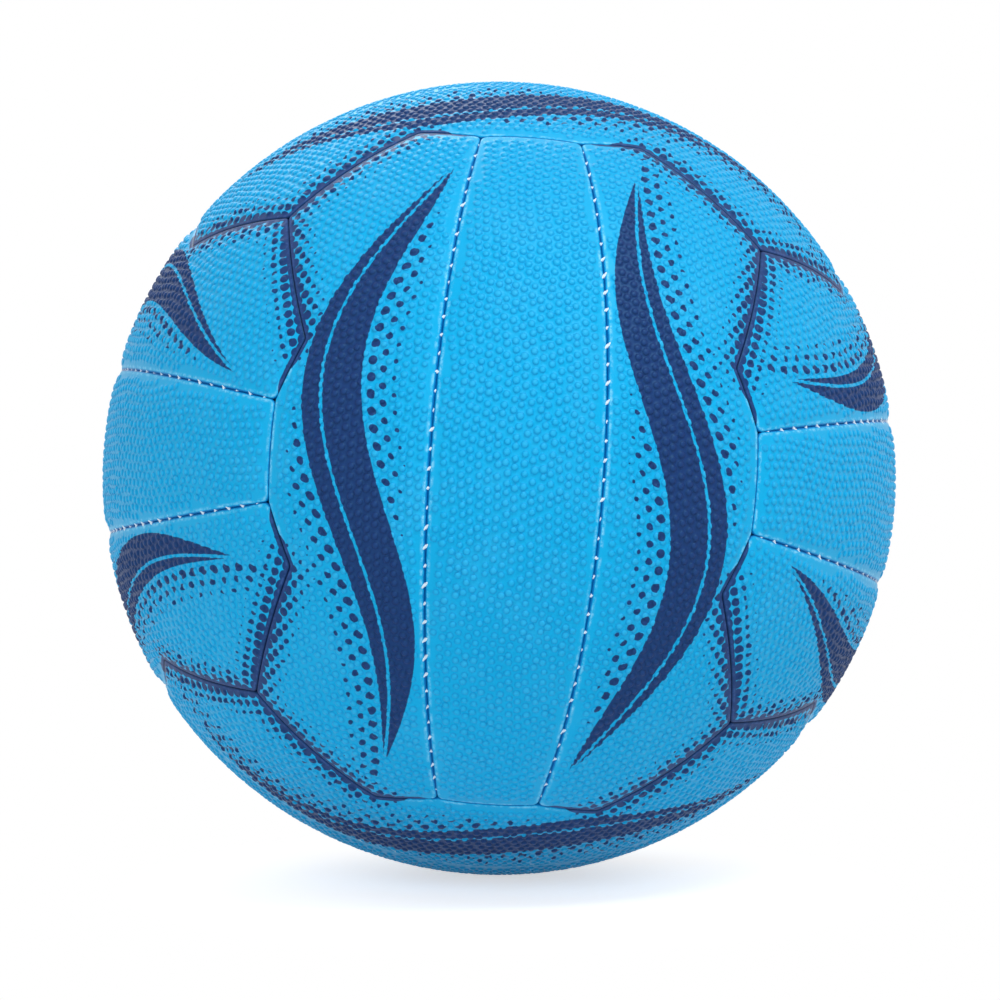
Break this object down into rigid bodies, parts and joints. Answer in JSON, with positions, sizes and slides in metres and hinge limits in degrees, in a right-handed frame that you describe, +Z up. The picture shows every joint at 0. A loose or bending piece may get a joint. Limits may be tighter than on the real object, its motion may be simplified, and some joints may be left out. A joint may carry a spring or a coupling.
{
  "type": "netball",
  "caption": "Hand-sewn netball with a pimpled rubber cover in curved strips, woven linings, stitched seams, an air bladder and a needle valve; bounced, thrown and caught.",
  "frame": {"origin": "centre of the ball", "axes": "+Z up along the strips of the front face, -Y out of the front face, +Y out of the valve"},
  "size_m": [0.223, 0.2229, 0.223],
  "materials": {
    "centre_cover": "matt azure rubber with small raised pimples",
    "printed_cover": "matt azure rubber with a navy print and small raised pimples",
    "lining": "woven cotton and polyester plies, unbleached",
    "thread": "waxed white polyester thread",
    "bladder": "thin black butyl rubber",
    "valve_rubber": "moulded black rubber, satin",
    "valve_core": "moulded dark grey rubber, satin"
  },
  "bodies": {
    "root": {"front_centre_panel": "centre_cover", "front_left_panel": "printed_cover", "front_right_panel": "printed_cover", "back_centre_panel": "centre_cover", "back_right_panel": "printed_cover", "back_left_panel": "printed_cover", "right_centre_panel": "centre_cover", "right_top_panel": "printed_cover", "right_bottom_panel": "printed_cover", "left_centre_panel": "centre_cover", "left_bottom_panel": "printed_cover", "left_top_panel": "printed_cover", "top_centre_panel": "centre_cover", "top_back_panel": "printed_cover", "top_front_panel": "printed_cover", "bottom_centre_panel": "centre_cover", "bottom_front_panel": "printed_cover", "bottom_back_panel": "printed_cover", "front_centre_lining": "lining", "front_left_lining": "lining", "front_right_lining": "lining", "back_centre_lining": "lining", "back_right_lining": "lining", "back_left_lining": "lining", "right_centre_lining": "lining", "right_top_lining": "lining", "right_bottom_lining": "lining", "left_centre_lining": "lining", "left_bottom_lining": "lining", "left_top_lining": "lining", "top_centre_lining": "lining", "top_back_lining": "lining", "top_front_lining": "lining", "bottom_centre_lining": "lining", "bottom_front_lining": "lining", "bottom_back_lining": "lining", "front_strip_thread": "thread", "front_left_edge_thread": "thread", "front_right_edge_thread": "thread", "back_strip_thread": "thread", "back_right_edge_thread": "thread", "back_left_edge_thread": "thread", "right_strip_thread": "thread", "right_top_edge_thread": "thread", "right_bottom_edge_thread": "thread", "left_strip_thread": "thread", "left_bottom_edge_thread": "thread", "left_top_edge_thread": "thread", "top_strip_thread": "thread", "top_back_edge_thread": "thread", "top_front_edge_thread": "thread", "bottom_strip_thread": "thread", "bottom_front_edge_thread": "thread", "bottom_back_edge_thread": "thread", "bladder": "bladder", "valve_housing": "valve_rubber", "valve_core": "valve_core"}
  },
  "joints": []
}
